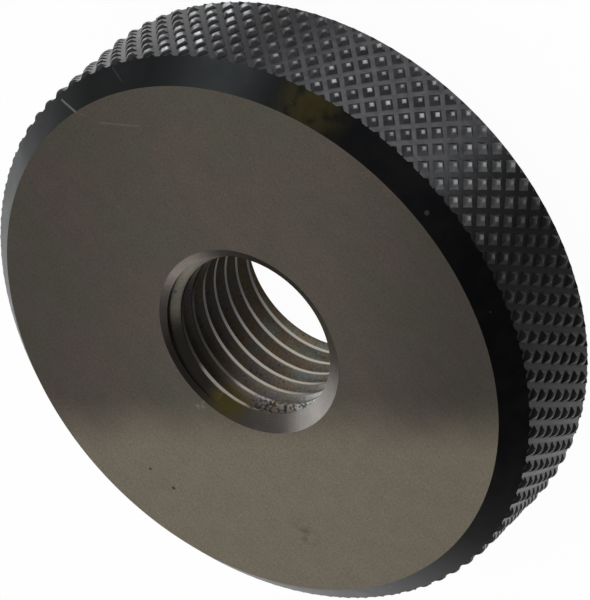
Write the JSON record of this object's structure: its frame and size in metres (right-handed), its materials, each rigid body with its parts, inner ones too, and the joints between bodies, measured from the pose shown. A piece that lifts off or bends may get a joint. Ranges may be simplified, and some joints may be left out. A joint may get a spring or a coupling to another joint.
{
  "type": "thread ring gauge",
  "caption": "Solid steel thread ring gauge: a thick disc with ground faces, chamfered rim edges, a diamond-knurled rim and a threaded through bore with lead-in cones.",
  "frame": {"origin": "centre of the lower ground face, on the bore axis", "axes": "+Z along the bore axis, from the lower ground face to the upper one, which is the face that the picture shows; the rim is round, so X and Y are two square directions across the disc"},
  "size_m": [0.038, 0.038, 0.0097],
  "materials": {
    "gauge_steel": "ground grey-brown faces with a fine grain, dark blackened chamfers and knurl, bright worn thread crests"
  },
  "bodies": {
    "root": {"ring_gauge": "gauge_steel"}
  },
  "joints": []
}
